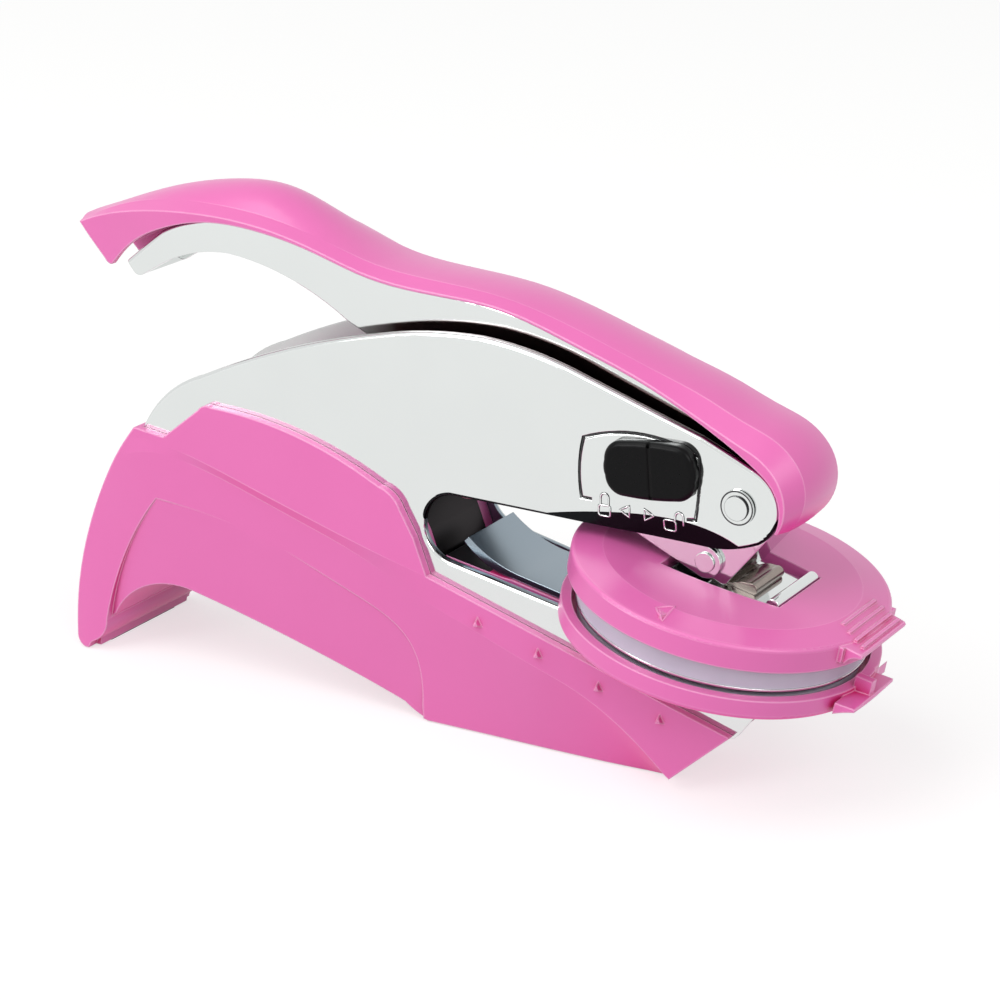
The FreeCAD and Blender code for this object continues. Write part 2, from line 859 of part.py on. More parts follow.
def handle_lever():
    """Pressed channel, open below, whose front runs down into a V-shaped ram nose."""
    body = new_body("handle_lever")
    side_view = draw(new_sketch(body), [
        (-158.9, 28.0),
        *lever_top(),
        (-3.0, 12.0),
        (2.8, 8.0),
        (8.4, 1.4, 6.7, -5.3),
        (-3.4, -17.9),
        (-4.4, -18.8, -5.8, -18.5),
        (-10.6, -16.6),
        (-11.7, -14.4, -11.2, -12.6),
        (-15.5, -4.5),
        (-24.0, 3.0),
        (-45.0, 10.0),
        (-84.0, 17.0),
        (-97.9, 23.2),
        (-113.2, 30.4, -129.6, 33.6),
        (-140.2, 32.1, -149.2, 28.2),
        (-153.8, 25.5),
        (-155.3, 24.9, -156.8, 25.5),
    ])
    pad(body, side_view, lever_half * 2, midplane=True)
    soften(body, 1.2, on_lever_top)
    wall = s.lever_wall
    inside = draw(new_sketch(body), [
        (-155.6, 30.6 - wall),
        *lever_top(wall),
        (-3.6, 12.0 - wall),
        (1.6, 8.0 - wall),
        (6.2, 1.0, 4.6, -5.0),
        (-5.4, -16.6),
        (-20.0, -19.0),
        (-60.0, 8.0),
        (-97.9, 15.0),
        (-128.0, 26.0),
        (-148.0, 18.0),
        (-154.2, 20.0),
    ])
    pocket(body, inside, (lever_half - wall) * 2, midplane=True)
    for x, z, radius in ((0, 0, s.bush_radius), (-s.pin_back, -s.pin_drop, s.pin_radius)):
        bore = circle(new_sketch(body), x, z, radius + s.running / 2)
        pocket(body, bore, 40, midplane=True)
    place(body)


# cover stations along x: low edge, side crease, top crease and crown heights with half widths
COVER = (
    # x, low z, low y, crease z, crease y, top z, top y, crown
    (-178.0, 14.0, 4.9, 32.6, 4.9, 33.4, 3.6, 34.2),
    (-169.0, 20.5, 6.2, 36.4, 6.3, 37.3, 4.6, 38.0),
    (-160.0, 30.3, 7.5, 38.9, 7.7, 40.6, 5.5, 41.4),
    (-148.0, 36.9, 9.8, 41.1, 9.8, 43.2, 6.8, 45.3),
    (-134.0, 40.6, 11.2, 42.3, 11.3, 44.3, 8.4, 48.1),
    (-120.0, 40.7, 11.7, 41.8, 11.7, 43.6, 8.7, 48.1),
    (-106.0, 38.1, 11.1, 38.9, 11.1, 40.5, 7.9, 42.6),
    (-92.0, 34.1, 10.3, 34.8, 10.3, 36.5, 7.1, 37.2),
    (-76.0, 32.5, 9.8, 33.1, 9.8, 34.9, 6.7, 35.6),
    (-58.0, 31.6, 9.8, 32.2, 9.8, 33.6, 6.7, 34.4),
    (-40.0, 26.9, 10.0, 27.6, 10.0, 29.3, 6.8, 30.3),
    (-24.0, 21.9, 10.4, 22.6, 10.4, 24.3, 6.9, 25.3),
    (-10.0, 15.9, 11.0, 16.8, 11.0, 19.9, 7.2, 20.8),
)
# nose stations: angle forward from upright, then radii from the pivot with the same half widths
NOSE = (
    (0.0, 10.8, 11.7, 12.7, 11.7, 16.0, 7.5, 16.9),
    (20.0, 9.5, 12.1, 11.8, 12.1, 15.0, 7.6, 15.8),
    (40.0, 9.2, 12.3, 11.3, 12.3, 14.5, 7.6, 15.3),
    (60.0, 9.2, 12.3, 10.9, 12.3, 13.9, 7.6, 14.7),
    (80.0, 9.2, 12.2, 10.5, 12.2, 12.9, 7.5, 13.5),
    (100.0, 9.2, 12.0, 10.1, 12.0, 11.6, 7.4, 12.0),
    (118.0, 9.2, 11.6, 9.7, 11.6, 10.5, 7.3, 10.8),
)
# hollow of the cover: x, low z, half width, shoulder z, roof z, roof half width
HOLLOW = (
    (-182.0, 10.0, 3.6, 24.0, 31.0, 2.6),
    (-169.0, 16.0, 5.0, 28.0, 35.0, 3.4),
    (-160.0, 26.0, 6.3, 32.0, 38.8, 4.4),
    (-148.0, 34.0, 8.75, 38.6, 41.8, 6.3),
    (-134.0, 38.0, 9.4, 41.6, 43.7, 7.2),
    (-120.0, 38.0, 9.5, 41.2, 43.0, 7.4),
    (-106.0, 35.5, 9.1, 38.0, 39.3, 7.6),
    (-92.0, 31.5, 8.8, 33.9, 35.1, 7.9),
    (-76.0, 30.0, 8.75, 32.2, 33.35, 7.9),
    (-58.0, 29.0, 8.75, 31.4, 32.55, 7.9),
    (-50.0, 27.5, 8.75, 29.6, 30.8, 7.9),
    (-40.0, 24.0, 8.75, 26.4, 27.65, 7.9),
    (-28.0, 20.0, 8.75, 22.9, 24.1, 7.9),
    (-12.0, 13.0, 8.75, 16.0, 17.2, 7.9),
    (-3.0, 8.0, 8.75, 11.3, 12.4, 7.9),
    (0.6, 6.0, 8.75, 8.8, 9.9, 7.9),
)


def loft(body, kind, sketches):
    feature = body.newObject(f"PartDesign::{kind}", kind)
    feature.Profile = sketches[0]
    feature.Sections = sketches[1:]
    doc.recompute()
    return feature


def cover_section(sketch, low, low_half, side, side_half, top, top_half, crown):
    wider = lever_half - 8.6
    low_half, side_half, top_half = (size + wider for size in (low_half, side_half, top_half))
    return draw(sketch, [
        (low_half, low),
        (side_half, side),
        (top_half, top),
        (0, crown, -top_half, top),
        (-side_half, side),
        (-low_half, low),
    ])


def handle_cover():
    body = new_body("handle_cover")
    rings = []
    for x, *section in COVER:
        rings.append(cover_section(new_sketch(body, "YZ_Plane", lift=x), *section))
    for angle, *section in NOSE:
        sketch = new_sketch(body, "YZ_Plane", turn=angle, axis=V(1, 0, 0))
        rings.append(cover_section(sketch, *section))
    loft(body, "AdditiveLoft", rings)
    hollow = []
    wider = lever_half - 8.6
    for x, low, half, shoulder, roof, roof_half in HOLLOW:
        sketch = new_sketch(body, "YZ_Plane", lift=x)
        half, top = half + wider, roof_half + wider
        hollow.append(draw(sketch, [
            (half, low), (half, shoulder), (top, roof),
            (-top, roof), (-half, shoulder), (-half, low)]))
    loft(body, "SubtractiveLoft", hollow)
    # slanted rear mouth
    mouth = draw(new_sketch(body), [
        (-177.0, 36.0),
        (-175.2, 34.6),
        (-171.1, 30.6, -166.9, 26.6),
        (-165.7, 25.7, -164.4, 25.8),
        (-158.0, 5.0),
        (-190.0, 5.0),
        (-190.0, 36.0),
    ])
    pocket(body, mouth, 40, midplane=True)
    place(body)


# ---------------------------------------------------------------- lock

def lock_slider():
    """Oval thumb button with a grip groove, on a neck through the plate."""
    body = new_body("lock_slider")
    x, z = -s.slider_back, s.slider_up
    across, up = s.slider_half_long, s.slider_half_tall
    corner, bulge = s.slider_corner, 0.3
    turn = corner * (1 - math.sqrt(0.5))
    lean_x, lean_z = cosine(s.slider_tilt), sine(s.slider_tilt)

    def leaning(*flat):
        pairs = zip(flat[::2], flat[1::2])
        return [size for u, w in pairs
                for size in (x + u * lean_x - w * lean_z, z + u * lean_z + w * lean_x)]
    button = draw(side_sketch(body, RIGHT, s.seat), [
        leaning(-across - bulge, 0, -across, up - corner),
        leaning(turn - across, up - turn, corner - across, up),
        leaning(0, up + bulge, across - corner, up),
        leaning(across - turn, up - turn, across, up - corner),
        leaning(across + bulge, 0, across, corner - up),
        leaning(across - turn, turn - up, across - corner, -up),
        leaning(0, -up - bulge, corner - across, -up),
        leaning(turn - across, turn - up, -across, corner - up),
    ])
    pad(body, button, s.slider_thick)
    rim = s.frame_half.number + s.slider_thick.number

    def on_face(edge):
        centre = edge.CenterOfMass
        plane = rim + 0.1 - centre.x * math.tan(math.radians(s.flare.number))
        return abs(-centre.y - plane) < 0.3
    soften(body, s.slider_thick * 0.45, on_face)
    groove = side_sketch(body, RIGHT, s.slider_thick + s.seat)
    draw(groove, [leaning(*spot) for spot in rectangle(0.1, -up * 1.2, 0.8, up * 1.2)])
    pocket(body, groove, 0.7)
    neck = circle(side_sketch(body, RIGHT, s.seat), x, z, 2.2)
    pad(body, neck, s.plate_thick + s.seat * 1.9, reverse=True)
    place(body)


def lock_bar():
    """Bar behind the plate, carried by the neck of the slider, with a hooked rear end."""
    body = new_body("lock_bar")
    x, z = -s.slider_back, s.slider_up
    back = s.plate_thick + s.seat
    bar = draw(side_sketch(body, RIGHT, -back), [
        (x - 9.0, z + 3.0),
        (x - 9.0, z - 6.0),
        (x - 5.0, z - 6.0),
        (x - 5.0, z - 3.0),
        (x + 4.0, z - 3.0),
        (x + 4.0, z + 3.0),
    ])
    pad(body, bar, 1.0, reverse=True)
    place(body)


# ---------------------------------------------------------------- clip and dies

rim = s.die_radius + s.rim_wall


def clip_ring(body, outline):
    revolve(body, draw(new_sketch(body), outline))


def clip_upper():
    body = new_body("clip_upper")
    crown, high = rim - s.crown_inset, s.crown_height
    clip_ring(body, [
        (0, high),
        (0, -s.upper_floor),
        (s.die_radius + s.seat, -s.upper_floor),
        (s.die_radius + s.seat, -s.upper_thick),
        (rim, -s.upper_thick),
        (rim, -0.4),
        (rim - 0.2, 0.1, rim - 0.8, 0.35),
        (crown, high),
    ])
    # front tab, thin at its tip, and its four grip ribs
    tip = rim + s.tab_reach
    tab = draw(new_sketch(body), [
        (rim - 2.4, 0.0),
        (tip - 0.4, 0.1),
        (tip, -0.3),
        (tip - 0.2, -0.9),
        (rim + 0.6, -1.6, rim - 0.8, -3.4),
        (rim - 2.4, -3.4),
    ])
    pad(body, tab, 25, midplane=True)
    around = draw(new_sketch(body, "XY_Plane"), [
        (rim - 1.4, -11.2),
        (tip - 4.3, -11.9),
        (tip - 0.2, -12.6),
        (tip, 8.2),
        (tip - 4.3, 9.6),
        (rim - 1.4, 9.0),
        (rim - 1.4, 20.0),
        (tip + 5, 20.0),
        (tip + 5, -20.0),
        (rim - 1.4, -20.0),
    ])
    pocket(body, around, 30, midplane=True)
    for n, (low, high_end) in enumerate(((-5.5, 9.9), (-7.0, 9.2), (-8.3, 8.6), (-9.8, 7.7))):
        u = tip - 8.3 + 2.25 * n
        height = s.crown_height * (3.6 - n) / 3.6 if n < 3 else Size(0.65)
        rib = draw(new_sketch(body, "XY_Plane", lift=-1.0), rectangle(u - 0.4, low, u + 0.4, high_end))
        pad(body, rib, 1.0 + height)
    half, front_half = s.window_half, s.window_front_half
    window = draw(new_sketch(body, "XY_Plane"), [
        (s.window_front * 0.25, half - 0.3, s.window_front, front_half),
        (s.window_front, -front_half),
        (s.window_front * 0.25, 0.3 - half, -s.window_back, -half),
        (-s.window_back, half),
    ])
    pocket(body, window, 30, midplane=True)
    mark = draw(new_sketch(body, "XY_Plane", lift=-2.0), [(-2.7, 7.0 - rim), (1.6, 7.4 - rim), (0.4, 2.0 - rim)])
    draw(mark, [(-1.7, 6.5 - rim), (0.9, 6.7 - rim), (0.3, 3.6 - rim)])
    pad(body, mark, 2.0 + s.crown_height * 0.75)
    place(body, clip=True)


def upper_die():
    body = new_body("upper_die")
    clip_ring(body, [
        (0, -s.upper_floor - s.seat),
        (0, s.die_plate_thick - s.die_bottom),
        (s.die_radius, s.die_plate_thick - s.die_bottom),
        (s.die_radius, -s.upper_floor - s.seat),
    ])
    place(body, clip=True)


def die_ring():
    body = new_body("die_ring")
    clip_ring(body, [
        (0, s.die_plate_thick - s.die_bottom),
        (0, -s.die_bottom),
        (s.die_radius + 0.3, -s.die_bottom),
        (s.die_radius + 0.3, s.die_plate_thick - s.die_bottom),
    ])
    place(body, clip=True)


def clip_lower():
    body = new_body("clip_lower")
    edge = rim + 0.3
    clip_ring(body, [
        (0, -s.lower_floor),
        (0, -s.lower_bottom),
        (edge - 1.2, -s.lower_bottom),
        (edge - 0.3, -s.lower_bottom + 0.3, edge, -s.lower_bottom + 1.2),
        (edge, -s.lower_top),
        (s.die_radius + 1.0, -s.lower_top),
        (s.die_radius + 1.0, -s.lower_floor),
    ])
    # front tab, thin at its tip, and the web that reaches up towards the upper tab
    tip = edge + s.tab_reach
    level = -s.lower_top - 0.9
    tab = draw(new_sketch(body), [
        (edge - 1.0, level),
        (tip + 0.6, level + 0.3),
        (tip + 0.9, level - 0.3),
        (edge + 0.8, level - 1.6, edge - 1.0, level - 2.6),
    ])
    pad(body, tab, 25, midplane=True)
    around = draw(new_sketch(body, "XY_Plane"), [
        (edge - 0.9, -16.2),
        (tip - 3.4, -15.8),
        (tip + 0.5, -15.0),
        (tip + 1.0, -5.0),
        (tip + 0.6, 6.0),
        (tip - 3.4, 6.2),
        (edge - 0.9, 6.0),
        (edge - 0.9, 20.0),
        (tip + 5, 20.0),
        (tip + 5, -20.0),
        (edge - 0.9, -20.0),
    ])
    pocket(body, around, 60, midplane=True)
    web = draw(new_sketch(body, "XY_Plane", lift=level - 0.6), [
        (edge - 0.8, -4.6), (tip + 0.2, -4.6), (tip + 0.2, -2.6), (edge - 0.8, -2.6)])
    pad(body, web, s.lower_top - 7.4)
    place(body, clip=True)


def lower_die():
    body = new_body("lower_die")
    clip_ring(body, [
        (0, s.lower_die_thick - s.lower_floor),
        (0, -s.lower_floor),
        (s.die_radius - 0.6, -s.lower_floor),
        (s.die_radius - 0.6, s.lower_die_thick - s.lower_floor),
    ])
    place(body, clip=True)


def press_shoe():
    """Plate in the window of the upper clip, with a rolled front lip."""
    body = new_body("press_shoe")
    half = s.window_front_half - s.gap
    front, back = s.window_front - s.gap, -s.window_back + s.gap
    top, roll = 0.0, s.lip_radius
    bead = front - roll
    side_view = draw(new_sketch(body), [
        (back, top),
        (back, -s.upper_floor),
        (front, -s.upper_floor),
        (front, s.crown_height - 0.6),
        (bead, s.crown_height - 0.6 + roll, bead - roll, s.crown_height - 0.6),
        (bead - roll * 0.4, top),
    ])
    pad(body, side_view, half * 2, midplane=True)
    place(body, clip=True)


def cam_knuckle():
    """Curled knuckle that the ram nose rides on."""
    body = new_body("cam_knuckle")
    side_view = draw(new_sketch(body), [
        (8.7, 0.0),
        (8.9, 1.5, 7.0, 2.0),
        (5.0, 1.65, 3.3, 0.65),
        (-3.0, 0.55),
        (-4.6, 0.4, -5.2, 0.0),
    ])
    pad(body, side_view, 12.4, midplane=True)
    place(body, clip=True)


# ---------------------------------------------------------------- all sub-parts

frame_side("frame_side_left", LEFT)
frame_side("frame_side_right", RIGHT)
base_shell()
foot_pads()
base_screws()
bed_plate()
spring_bridge()
frame_tie()
return_spring()
pivot_pin()
pivot_bush()
link("link_left", LEFT)
link("link_right", RIGHT)
link_pins()
handle_lever()
handle_cover()
lock_slider()
lock_bar()
clip_upper()
upper_die()
die_ring()
clip_lower()
lower_die()
press_shoe()
cam_knuckle()

doc.recompute()
for item in doc.Objects:
    if "Invalid" in item.State or "Error" in item.State:
        raise RuntimeError(f"{item.Label} failed: {item.State}")
for name, item in parts.items():
    if item.Shape.isNull() or not item.Shape.isValid():
        raise RuntimeError(f"{name} has no valid shape")

os.makedirs("parts", exist_ok=True)
for name, item in parts.items():
    item.Shape.exportStep(f"parts/{name}.step")
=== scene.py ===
import math

import bpy
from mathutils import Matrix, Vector


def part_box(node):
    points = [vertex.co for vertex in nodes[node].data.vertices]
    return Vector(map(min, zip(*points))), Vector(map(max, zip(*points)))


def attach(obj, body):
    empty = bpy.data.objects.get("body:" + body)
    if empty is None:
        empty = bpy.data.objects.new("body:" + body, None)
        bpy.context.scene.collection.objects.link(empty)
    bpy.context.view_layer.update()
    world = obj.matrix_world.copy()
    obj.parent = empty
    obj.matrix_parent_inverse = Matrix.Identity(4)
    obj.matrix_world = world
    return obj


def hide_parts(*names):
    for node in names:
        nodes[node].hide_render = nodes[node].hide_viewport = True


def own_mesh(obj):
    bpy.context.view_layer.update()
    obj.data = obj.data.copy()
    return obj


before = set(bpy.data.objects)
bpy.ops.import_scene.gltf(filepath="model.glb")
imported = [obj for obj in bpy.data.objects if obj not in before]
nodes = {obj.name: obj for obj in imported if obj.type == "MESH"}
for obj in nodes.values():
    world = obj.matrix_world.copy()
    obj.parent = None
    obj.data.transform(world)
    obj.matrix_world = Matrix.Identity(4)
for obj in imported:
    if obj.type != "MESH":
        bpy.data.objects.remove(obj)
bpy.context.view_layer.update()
bpy.ops.object.select_all(action="DESELECT")

MM = 0.001
# the handle's pivot, from which the places below are counted
PIVOT = Vector((0.07325, 0.0, 0.066))
# half width over the plates at the pivot, their thickness, and how they spread toward the rear
FRAME_HALF = 0.012
PLATE_THICK = 0.0018
FLARE = math.radians(2.0)
# middle of the clip's top and its slope
CLIP_MIDDLE = PIVOT + Vector((-7.1, 0.0, -19.2)) * MM
CLIP_TILT = math.radians(10.5)
# the throat between bed and plates: half its width, its two ends, and the lowest point of its
# painted shade
THROAT_HALF = 9.6 * MM
THROAT_BACK = PIVOT.x - 96 * MM
THROAT_FRONT = PIVOT.x - 20 * MM
THROAT_BOTTOM = PIVOT.z - 41 * MM
# below this height the throat is not painted with shade and stays pink all over
THROAT_SHADE_LOW = PIVOT.z - 27.5 * MM
# on the plates: where the painted dark reflection on the lower bevels ends, the painted shade in
# the slit begins, and the rear, painted paler, stands open
BEVEL_BOTTOM = PIVOT.z - 34 * MM
SLIT_BOTTOM = PIVOT.z + 2 * MM
OPEN_REAR = PIVOT.x - 88 * MM
# rounding of the edges of mouldings and of metal
MOULDED_EDGE = 0.5 * MM
METAL_EDGE = 0.3 * MM
# radius of the return spring's wire, and its rise per turn
SPRING_WIRE = 0.55 * MM
SPRING_PITCH = 4.6 * MM
SPRING_STEPS_PER_TURN = 28


# ---------------------------------------------------------------- shader helpers

# colour sockets of a Mix node, whose names repeat
MIX_AMOUNT, MIX_ONE, MIX_TWO, MIX_RESULT = 0, 6, 7, 2


class Wire:
    """A shader value: arithmetic on it adds the Math nodes."""

    def __init__(self, paint, link):
        self.paint = paint
        self.link = link

    def _math(self, operation, *values):
        return self.paint.node("ShaderNodeMath", {"operation": operation}, dict(enumerate(values)))

    def __add__(self, other):
        return self._math("ADD", self, other)

    def __radd__(self, other):
        return self._math("ADD", other, self)

    def __sub__(self, other):
        return self._math("SUBTRACT", self, other)

    def __rsub__(self, other):
        return self._math("SUBTRACT", other, self)

    def __mul__(self, other):
        return self._math("MULTIPLY", self, other)

    def __rmul__(self, other):
        return self._math("MULTIPLY", other, self)

    def __lt__(self, other):
        return self._math("LESS_THAN", self, other)

    def __gt__(self, other):
        return self._math("GREATER_THAN", self, other)

    def size(self):
        return self._math("ABSOLUTE", self)

    def root(self):
        return self._math("SQRT", self)

    def larger(self, other):
        return self._math("MAXIMUM", self, other)

    def clamp(self, low=0.0, high=1.0):
        return self._math("MINIMUM", self._math("MAXIMUM", self, low), high)


class Paint:
    """A node tree that is built from Python expressions, with one main shader."""

    def __init__(self, owner, shader="Principled BSDF"):
        owner.use_nodes = True
        self.owner = owner
        self.tree = owner.node_tree
        self.shader = self.tree.nodes[shader]

    @classmethod
    def material(cls, name):
        return cls(bpy.data.materials.new(name))

    def node(self, kind, settings=None, inputs=None, output=0):
        made = self.tree.nodes.new(kind)
        for key, value in (settings or {}).items():
            setattr(made, key, value)
        for key, value in (inputs or {}).items():
            self.put(made.inputs[key], value)
        return Wire(self, made.outputs[output])

    def put(self, socket, value):
        if isinstance(value, Wire):
            self.tree.links.new(value.link, socket)
        else:
            socket.default_value = value

    def set(self, **values):
        for key, value in values.items():
            self.put(self.shader.inputs[key.replace("_", " ")], value)

    def place(self, stretch=(1, 1, 1)):
        """Object coordinates in metres, stretched."""
        coords = self.node("ShaderNodeTexCoord", output="Object")
        return self.node("ShaderNodeMapping", inputs={"Vector": coords, "Scale": stretch})

    def parts(self, kind):
        """The X, Y and Z of one output of Texture Coordinate."""
        coords = self.node("ShaderNodeTexCoord", output=kind)
        return [self.node("ShaderNodeSeparateXYZ", inputs={"Vector": coords}, output=axis)
                for axis in "XYZ"]

    def axes(self):
        """The three object coordinates in metres."""
        return self.parts("Object")

    def facing(self):
        """The three parts of the surface's direction, in the object's own axes."""
        return self.parts("Normal")

    def noise(self, scale, detail=2.0, stretch=(1, 1, 1)):
        return self.node("ShaderNodeTexNoise", inputs={
            "Vector": self.place(stretch), "Scale": scale, "Detail": detail})

    def blend(self, amount, one, two):
        return self.node("ShaderNodeMix", {"data_type": "RGBA"},
                         {MIX_AMOUNT: amount, MIX_ONE: one, MIX_TWO: two}, output=MIX_RESULT)

    def rounded(self, radius):
        """Normal of the surface with its edges rounded, and how far it turns from the flat one."""
        soft = self.node("ShaderNodeBevel", {"samples": 8}, {"Radius": radius})
        flat = self.node("ShaderNodeNewGeometry", output="Normal")
        same = self.node("ShaderNodeVectorMath", {"operation": "DOT_PRODUCT"}, {0: soft, 1: flat},
                         output="Value")
        return soft, 1 - same

    def sheltered(self, reach):
        """0 on open surfaces, up to 1 in corners and hollows narrower than the reach."""
        return 1 - self.node("ShaderNodeAmbientOcclusion", {"samples": 6, "only_local": True},
                             {"Distance": reach}, output="AO")

    def bump(self, height, strength, distance, normal=None):
        sockets = {"Height": height, "Strength": strength, "Distance": distance}
        if normal:
            sockets["Normal"] = normal
        self.set(Normal=self.node("ShaderNodeBump", inputs=sockets))

    def seen(self):
        """1 for what is seen straight, in a mirror or through glass, 0 for light on things."""
        straight, mirror, clear = (
            self.node("ShaderNodeLightPath", output=f"Is {ray} Ray")
            for ray in ("Camera", "Glossy", "Transmission"))
        return straight.larger(mirror).larger(clear)


def srgb(red, green, blue):
    def linear(value):
        value /= 255
        return value / 12.92 if value <= 0.04045 else ((value + 0.055) / 1.055) ** 2.4
    return linear(red), linear(green), linear(blue), 1.0


# ---------------------------------------------------------------- finishes

def moulded_pink(name, colour, deep, edge_highlight_tone, crease_shade_tone, underside_light_tone):
    """Satin-gloss moulding: flow marks, fine grain, a painted highlight on edges, painted shade in
    inner corners, and painted light on faces that lean downward.
    """
    paint = Paint.material(name)
    flow = paint.noise(38, 3.0)
    normal, turned = paint.rounded(MOULDED_EDGE)
    # painted light and shade: faces that lean under by 13 degrees or more, hollows within 4 mm,
    # and edges outside them, each painted a tone of its own
    under = ((-0.22 - paint.facing()[2]) * 2.0).clamp(0, 0.8)
    crease_shade_amount = ((paint.sheltered(4 * MM) - 0.10) * 2.4).clamp(0, 0.9)
    edge_highlight_amount = (turned * 70 - crease_shade_amount * 1.5).clamp(0, 0.65)
    # painted light: faces that lean under are painted a brighter, deeper pink
    body = paint.blend(under, paint.blend(flow, deep, colour), underside_light_tone)
    # painted shade: hollows and inner corners are painted deeper pink
    body = paint.blend(crease_shade_amount, body, crease_shade_tone)
    # painted highlight: edges are painted paler, but not in hollows
    paint.set(Base_Color=paint.blend(edge_highlight_amount, body, edge_highlight_tone))
    paint.set(Roughness=0.32 + flow * 0.08)
    paint.set(Coat_Weight=(0.35 - under * 0.6).clamp(), Coat_Roughness=0.3, IOR=1.5)
    paint.bump(paint.noise(2600, 1.0), 0.05, 0.05 * MM, normal)
    return paint.owner


def base_moulding(name, throat_shade_tone, crease_shade_tone, **tones):
    """Moulding of the base: as the other pink parts, but with painted shade, nearly black, inside
    the throat.
    """
    paint = Paint(moulded_pink(name, crease_shade_tone=crease_shade_tone, **tones))
    outside = Wire(paint, paint.shader.inputs["Base Color"].links[0].from_socket)
    x, y, z = paint.axes()
    # painted shade: the throat's inside is painted nearly black, with pink patches left in it
    patch = (paint.noise(70, 1.0) > 0.60).larger(z < THROAT_SHADE_LOW)
    lining_with_painted_shade = paint.blend(patch, throat_shade_tone, crease_shade_tone)
    throat = ((y.size() < THROAT_HALF) * (z > THROAT_BOTTOM)
              * (x > THROAT_BACK) * (x < THROAT_FRONT))
    paint.set(Base_Color=paint.blend(throat, outside, lining_with_painted_shade), Metallic=throat * (1 - patch))
    return paint.owner


def plating(paint, haze, colour):
    """Plating colour that turns a little paler with the haze."""
    return paint.blend(haze, colour, tuple(min(1, part * 1.04) for part in colour))


def pressed_waves(paint):
    """Slow waviness of pressed sheet, with rounded edges."""
    normal, _ = paint.rounded(METAL_EDGE)
    paint.bump(paint.noise(24, 1.0), 0.05, 0.4 * MM, normal)


def bright_chrome(name, colour, rough):
    """Polished plating on pressed sheet, with a little haze."""
    paint = Paint.material(name)
    haze = paint.noise(60)
    paint.set(Base_Color=plating(paint, haze, colour))
    paint.set(Metallic=1.0, Roughness=rough + haze * 0.04)
    pressed_waves(paint)
    return paint.owner


def plate_chrome(name, colour, inner, slit_shade_tone, dark):
    """Plating of the frame plates: bright outside, dull inside with painted shade in the gap above
    the pivot, painted paler toward the open back, and a painted black reflection on the lower
    bevels.
    """
    paint = Paint.material(name)
    haze = paint.noise(60)
    x, y, z = paint.axes()
    # from the object's middle plane to the middle of the plate's thickness
    middle = (FRAME_HALF - PLATE_THICK / 2) - (x - PIVOT.x) * math.tan(FLARE)
    inside = y.size() < middle
    # painted reflection: edges that look down by 7 degrees or more are painted dark
    bevel = (paint.facing()[2] < -0.12) * (z > BEVEL_BOTTOM)
    # painted light: behind the handle, where the far plate stands open to the light, it is painted
    # paler
    rear = ((OPEN_REAR - x) * 60).clamp()
    # painted shade: the inside is painted dark brown above the slit's bottom
    lining_with_painted_shade = paint.blend(z > SLIT_BOTTOM, inner, slit_shade_tone)
    face = paint.blend(inside, plating(paint, haze, colour),
                       paint.blend(rear * 0.8, lining_with_painted_shade, colour))
    paint.set(Base_Color=paint.blend(bevel, face, dark))
    paint.set(Metallic=1.0, Roughness=0.05 + haze * 0.04 + inside * 0.22 + bevel * 0.15)
    pressed_waves(paint)
    return paint.owner


def pin_chrome(name, colour, dark):
    """Plated pin head with painted shade in two thin rings, one near its outer border and one
    round its flat.
    """
    paint = Paint.material(name)
    x, _, z = paint.axes()
    along, up = x - PIVOT.x, z - PIVOT.z
    radius = (along * along + up * up).root()

    def shade_ring(middle, half):
        """1 on a ring, given by its radius and half its width in millimetres."""
        return (radius - middle * MM).size() < half * MM

    # painted shade in two thin rings
    rim = shade_ring(3.55, 0.16).larger(shade_ring(2.62, 0.08))
    haze = paint.noise(60)
    paint.set(Base_Color=paint.blend(rim, plating(paint, haze, colour), dark))
    paint.set(Metallic=1.0, Roughness=0.08 + haze * 0.05 + rim * 0.2)
    return paint.owner


def brushed(name, colour, rough):
    """Plain steel with lines brushed along its length."""
    paint = Paint.material(name)
    lines = paint.noise(900, stretch=(0.06, 1, 1))
    darker = tuple(part * 0.8 for part in colour[:3]) + (1,)
    paint.set(Base_Color=paint.blend(lines, darker, colour))
    paint.set(Metallic=1.0, Roughness=rough + lines * 0.15)
    normal, _ = paint.rounded(METAL_EDGE)
    paint.bump(lines, 0.15, 0.05 * MM, normal)
    return paint.owner


def satin_black(name):
    """Black moulding with fine grain, a little duller along its edges."""
    paint = Paint.material(name)
    grain = paint.noise(1500)
    normal, turned = paint.rounded(MOULDED_EDGE)
    paint.set(Base_Color=paint.blend(grain, srgb(3, 3, 4), srgb(8, 8, 9)))
    paint.set(Roughness=0.24 + grain * 0.10 + (turned * 20).clamp(0, 0.15))
    paint.set(Specular_IOR_Level=0.12)
    paint.bump(grain, 0.08, 0.06 * MM, normal)
    return paint.owner


def die_resin(name):
    """Pale grey resin of the dies, slightly cloudy."""
    paint = Paint.material(name)
    cloud = paint.noise(120, 3.0)
    paint.set(Base_Color=paint.blend(cloud, srgb(186, 184, 200), srgb(204, 202, 216)))
    paint.set(Roughness=0.38 + cloud * 0.1)
    paint.bump(paint.noise(1800, 1.0), 0.08, 0.05 * MM)
    return paint.owner


def soft_rubber(name):
    """Dull dark rubber of the foot pads."""
    paint = Paint.material(name)
    grain = paint.noise(1100)
    paint.set(Base_Color=paint.blend(grain, srgb(26, 26, 27), srgb(42, 42, 43)))
    paint.set(Roughness=0.75 + grain * 0.1)
    paint.bump(grain, 0.3, 0.1 * MM)
    return paint.owner


def painted_line_shade(name):
    """Painted shade: black for the engraved lines and for the foot of raised ones."""
    paint = Paint.material(name)
    speck = paint.noise(1400)
    paint.set(Base_Color=paint.blend(speck, srgb(18, 18, 20), srgb(40, 40, 42)))
    paint.set(Roughness=0.4 + speck * 0.2)
    return paint.owner


